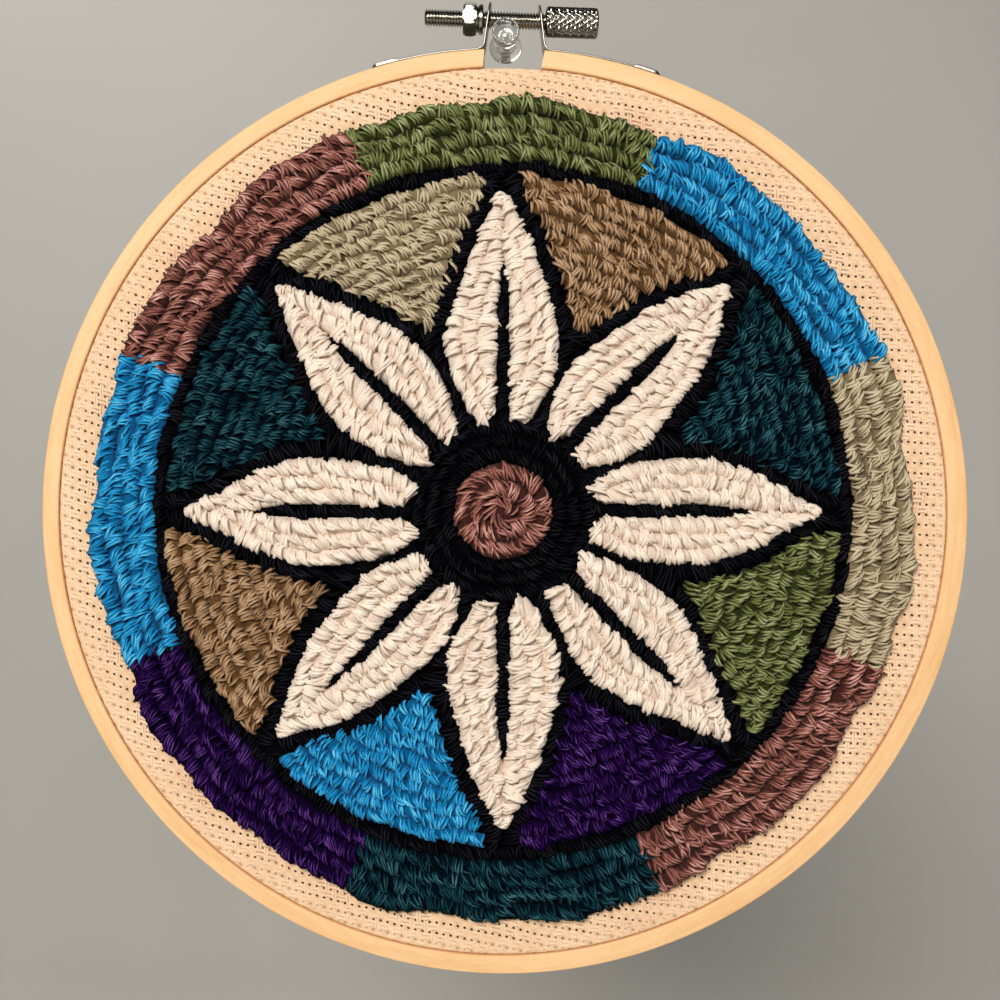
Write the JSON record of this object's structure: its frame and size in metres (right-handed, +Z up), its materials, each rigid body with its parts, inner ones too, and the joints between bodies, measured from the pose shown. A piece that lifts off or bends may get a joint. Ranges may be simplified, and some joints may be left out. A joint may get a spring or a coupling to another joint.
{
  "type": "punch needle wall piece in an embroidery hoop on a push pin",
  "caption": "Round punch needle rosette in yarn loops on monk's cloth, held in a wooden screw-tightened embroidery hoop that hangs by its screw on a clear push pin.",
  "frame": {"origin": "where the push pin's needle enters the wall, on the wall's plane", "axes": "+Z up, +Y into the wall; the worked front faces -Y"},
  "size_m": [0.2139, 0.0236, 0.2264],
  "materials": {
    "wood": "smooth sanded pale wood",
    "cloth": "unbleached basket-weave cotton",
    "steel": "bright nickel plate",
    "clear_plastic": "clear moulded plastic",
    "yarn_moss": "plied yarn loops",
    "yarn_blue": "plied yarn loops",
    "yarn_taupe": "plied yarn loops",
    "yarn_teal": "plied yarn loops",
    "yarn_sage": "plied yarn loops",
    "yarn_purple": "plied yarn loops",
    "yarn_mauve": "plied yarn loops",
    "yarn_black": "finer plied yarn loops",
    "yarn_cream": "soft puffy yarn loops"
  },
  "bodies": {
    "hoop": {"hoop_outer": "wood", "hoop_inner": "wood", "ground_cloth": "cloth", "strap_left": "steel", "strap_right": "steel", "hex_nut": "steel", "pin_body": "clear_plastic", "pin_needle": "steel", "pile_heart": "yarn_mauve", "pile_outline": "yarn_black", "pile_petal_1": "yarn_cream", "pile_petal_2": "yarn_cream", "pile_petal_3": "yarn_cream", "pile_petal_4": "yarn_cream", "pile_petal_5": "yarn_cream", "pile_petal_6": "yarn_cream", "pile_petal_7": "yarn_cream", "pile_petal_8": "yarn_cream", "pile_kite_1": "yarn_taupe", "pile_kite_2": "yarn_teal", "pile_kite_3": "yarn_moss", "pile_kite_4": "yarn_purple", "pile_kite_5": "yarn_blue", "pile_kite_6": "yarn_taupe", "pile_kite_7": "yarn_teal", "pile_kite_8": "yarn_sage", "pile_rim_1": "yarn_moss", "pile_rim_2": "yarn_blue", "pile_rim_3": "yarn_sage", "pile_rim_4": "yarn_mauve", "pile_rim_5": "yarn_teal", "pile_rim_6": "yarn_purple", "pile_rim_7": "yarn_blue", "pile_rim_8": "yarn_mauve"},
    "thumb_screw": {"tension_screw": "steel", "screw_knob": "steel"}
  },
  "joints": [
    {"name": "screw_turn", "type": "hinge", "parent": "hoop", "child": "thumb_screw", "pos_m": [0, -0.00475, 0.0051], "axis": [0.9994, 0, -0.0349], "continuous": true}
  ]
}
